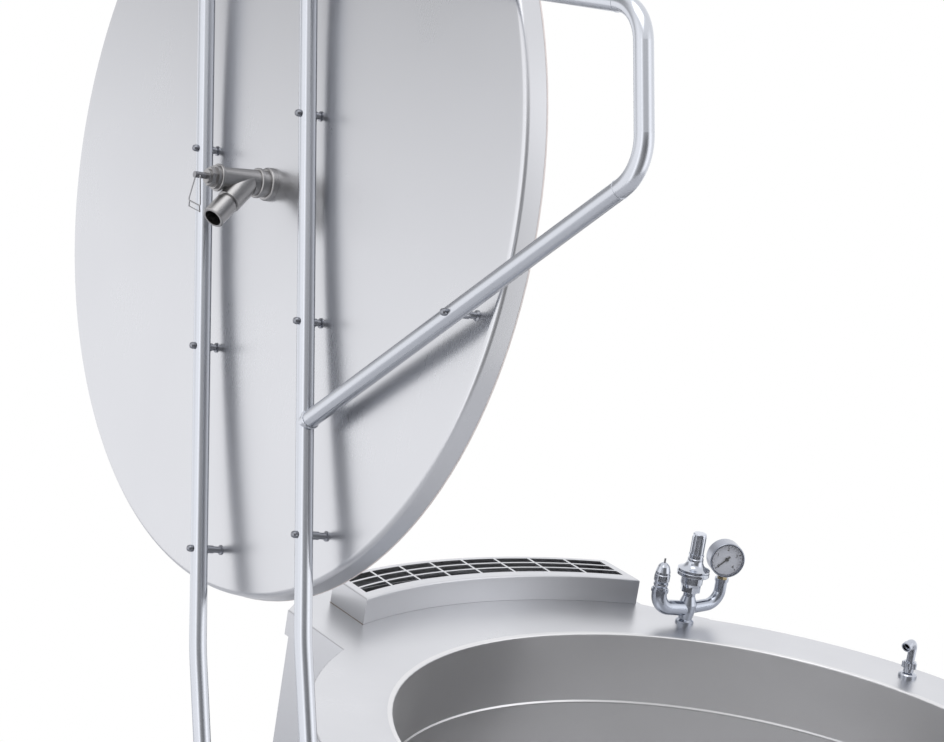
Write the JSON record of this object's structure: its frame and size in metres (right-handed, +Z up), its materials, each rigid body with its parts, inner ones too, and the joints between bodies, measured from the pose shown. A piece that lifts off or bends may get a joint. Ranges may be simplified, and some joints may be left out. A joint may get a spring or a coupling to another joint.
{
  "type": "steam jacketed kettle",
  "caption": "Round jacketed boiling kettle with a wide shallow-crowned lid on a pair of long tube arms, safety valve and gauge on the deck, curved flue box and front drain cock.",
  "frame": {"origin": "on the floor, on the axis of the round vessel", "axes": "+Z up, -Y towards the front where the cook stands, the lid is hinged on the -X side and stands open there"},
  "size_m": [1.6341, 1.513, 2.2283],
  "materials": {
    "vessel_steel": "ground and polished inside, dull outside",
    "jacket_steel": "dull rolled sheet",
    "blanket": "mineral wool blanket",
    "deck_steel": "satin sheet, circular grain",
    "casing_steel": "satin sheet, vertical grain",
    "leg_steel": "satin tube",
    "flue_steel": "satin folded sheet",
    "burner_iron": "heat-darkened casting",
    "lid_steel": "satin sheet, fine grain",
    "gasket_silicone": "moulded silicone",
    "tube_steel": "satin drawn tube",
    "fixing_steel": "turned",
    "bolt_steel": "polished",
    "hinge_steel": "satin tube",
    "shaft_steel": "ground bar",
    "block_steel": "machined",
    "bush_bronze": "plain bearing bronze",
    "vent_steel": "machined and polished",
    "stem_steel": "ground bar",
    "wire_steel": "drawn wire",
    "manifold_steel": "dull welded tube",
    "relief_steel": "machined casting",
    "cap_steel": "polished cap",
    "vacuum_steel": "machined",
    "nipple_brass": "turned",
    "gauge_steel": "polished pressed can",
    "dial_white": "matt white enamel",
    "needle_black": "matt black enamel",
    "gauge_glass": "flat window",
    "spout_steel": "polished turned fittings",
    "drain_steel": "machined sanitary casting",
    "grip_black": "moulded",
    "knob_black": "moulded"
  },
  "bodies": {
    "kettle": {"vessel": "vessel_steel", "steam_jacket": "jacket_steel", "insulation_blanket": "blanket", "deck": "deck_steel", "outer_casing": "casing_steel", "rear_housing": "casing_steel", "base_plate": "casing_steel", "legs": "leg_steel", "feet": "leg_steel", "flue_box": "flue_steel", "flue_duct": "flue_steel", "burner_ring": "burner_iron", "front_bearing_block": "block_steel", "rear_bearing_block": "block_steel", "front_bush": "bush_bronze", "rear_bush": "bush_bronze", "block_bolts": "bolt_steel", "hinge_column": "casing_steel", "column_bridge": "casing_steel", "safety_manifold": "manifold_steel", "relief_body": "relief_steel", "relief_bonnet": "relief_steel", "vacuum_valve": "vacuum_steel", "gauge_nipple": "nipple_brass", "gauge_case": "gauge_steel", "gauge_dial": "dial_white", "gauge_glass": "gauge_glass", "spout_flange": "spout_steel", "spout_nut": "spout_steel", "drain_pipe": "drain_steel", "cock_body": "drain_steel", "cock_cover": "drain_steel"},
    "lid": {"lid_shell": "lid_steel", "lid_gasket": "gasket_silicone", "rear_arm": "tube_steel", "front_arm": "tube_steel", "lid_handle": "tube_steel", "arm_spacers": "fixing_steel", "arm_bolts": "bolt_steel", "hinge_barrel": "hinge_steel", "hinge_shaft": "shaft_steel", "vent_flange": "vent_steel", "vent_body": "vent_steel", "vent_bonnet": "vent_steel"},
    "vent_lift": {"vent_stem": "stem_steel"},
    "bail": {"vent_bail": "wire_steel"},
    "cap": {"relief_cap": "cap_steel"},
    "breaker_pin": {"vacuum_pin": "stem_steel"},
    "pointer": {"gauge_needle": "needle_black"},
    "spout": {"fill_spout": "spout_steel"},
    "drain_plug": {"cock_plug": "drain_steel", "cock_lever": "drain_steel", "lever_grip": "grip_black"},
    "knob": {"heat_knob": "knob_black"}
  },
  "joints": [
    {"name": "lid_hinge", "type": "hinge", "parent": "kettle", "child": "lid", "pos_m": [-0.888, 0, 0.834], "axis": [0, 1, 0], "range_deg": [-5, 84.5]},
    {"name": "vent_stem_slide", "type": "slide", "parent": "lid", "child": "vent_lift", "axis": [-0.9954, 0, 0.0958], "range_m": [0, 0.006], "stiffness_N_per_m": 150, "springref_m": -0.003},
    {"name": "bail_swing", "type": "hinge", "parent": "vent_lift", "child": "bail", "pos_m": [-1.0108, -0.0203, 1.7313], "axis": [0, 1, 0], "range_deg": [-2, 80]},
    {"name": "relief_cap_turn", "type": "hinge", "parent": "kettle", "child": "cap", "pos_m": [0.28698, 0.50931, 1], "axis": [0, 0, 1], "range_deg": [0, 90]},
    {"name": "vacuum_pin_slide", "type": "slide", "parent": "kettle", "child": "breaker_pin", "axis": [0, 0, 1], "range_m": [0, 0.003]},
    {"name": "gauge_pointer", "type": "hinge", "parent": "kettle", "child": "pointer", "pos_m": [0.34898, 0.50931, 1.0068], "axis": [-0.3746, -0.9272, 0], "range_deg": [-270, 0]},
    {"name": "fill_spout_swivel", "type": "hinge", "parent": "kettle", "child": "spout", "pos_m": [0.52364, 0.22769, 0.92], "axis": [0, 0, 1], "range_deg": [-90, 90]},
    {"name": "drain_lever", "type": "hinge", "parent": "kettle", "child": "drain_plug", "pos_m": [0, -0.68805, 0.225], "axis": [0, 0, 1], "range_deg": [-90, 0]},
    {"name": "heat_knob_turn", "type": "hinge", "parent": "kettle", "child": "knob", "pos_m": [-0.888, -0.605, 0.668], "axis": [0, -1, 0], "range_deg": [0, 270]}
  ]
}
